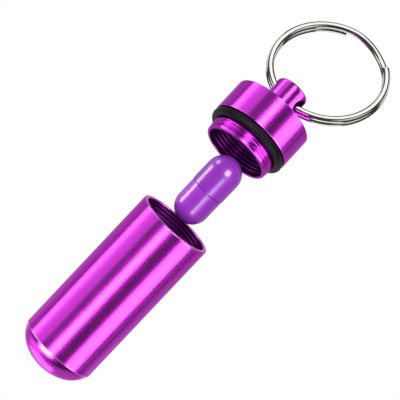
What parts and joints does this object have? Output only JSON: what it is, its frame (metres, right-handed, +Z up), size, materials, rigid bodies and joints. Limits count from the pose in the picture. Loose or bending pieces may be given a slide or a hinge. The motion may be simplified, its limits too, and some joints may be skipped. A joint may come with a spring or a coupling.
{
  "type": "capsule case",
  "caption": "Round-ended metal pill tube with a screw cap, rubber seal and split key ring, shown open with its two-piece capsule between tube and cap.",
  "frame": {"origin": "on the tube's axis, at the middle of its straight wall, where a hand holds it", "axes": "+X along the tube, out of its mouth; +Z up, the picture's upper left; +Y away from the camera"},
  "size_m": [0.0919, 0.0396, 0.0256],
  "materials": {
    "anodised_body": "glossy magenta anodising",
    "anodised_cap": "glossy magenta anodising",
    "seal_rubber": "satin black",
    "ring_nickel": "bright nickel plate on spring steel",
    "capsule_shell": "glossy violet shell",
    "capsule_powder": "packed white powder"
  },
  "bodies": {
    "case": {"case_body": "anodised_body"},
    "capsule_upper": {"capsule_upper_half": "capsule_shell"},
    "capsule_lower": {"capsule_lower_half": "capsule_shell", "capsule_fill": "capsule_powder"},
    "seal": {"o_ring": "seal_rubber"},
    "lid": {"cap": "anodised_cap"},
    "key_ring": {"split_ring": "ring_nickel"}
  },
  "joints": [
    {"name": "cap_travel", "type": "slide", "parent": "case", "child": "capsule_upper", "axis": [-1, 0, 0], "range_m": [0, 0.0128]},
    {"name": "capsule_pull", "type": "slide", "parent": "capsule_upper", "child": "capsule_lower", "axis": [-1, 0, 0], "range_m": [0, 0.009]},
    {"name": "cap_swing", "type": "hinge", "parent": "capsule_upper", "child": "seal", "pos_m": [0.02285, 0.01757, -0.00139], "axis": [0.1022, -0.049, -0.9936], "range_deg": [0, 31.24]},
    {"name": "cap_turn", "type": "hinge", "parent": "seal", "child": "lid", "pos_m": [0.0363, 0.00525, 0.0006], "axis": [-0.8565, -0.5146, 0.0401], "range_deg": [0, 5760]},
    {"name": "ring_swing", "type": "hinge", "parent": "lid", "child": "key_ring", "pos_m": [0.04988, 0.01341, -0.00004], "axis": [-0.161, 0.3403, 0.9264], "range_deg": [-112, 87]}
  ],
  "couplings": [
    {"joint": "cap_travel", "follows": "cap_turn", "m_per_rad": 0.00012732}
  ]
}
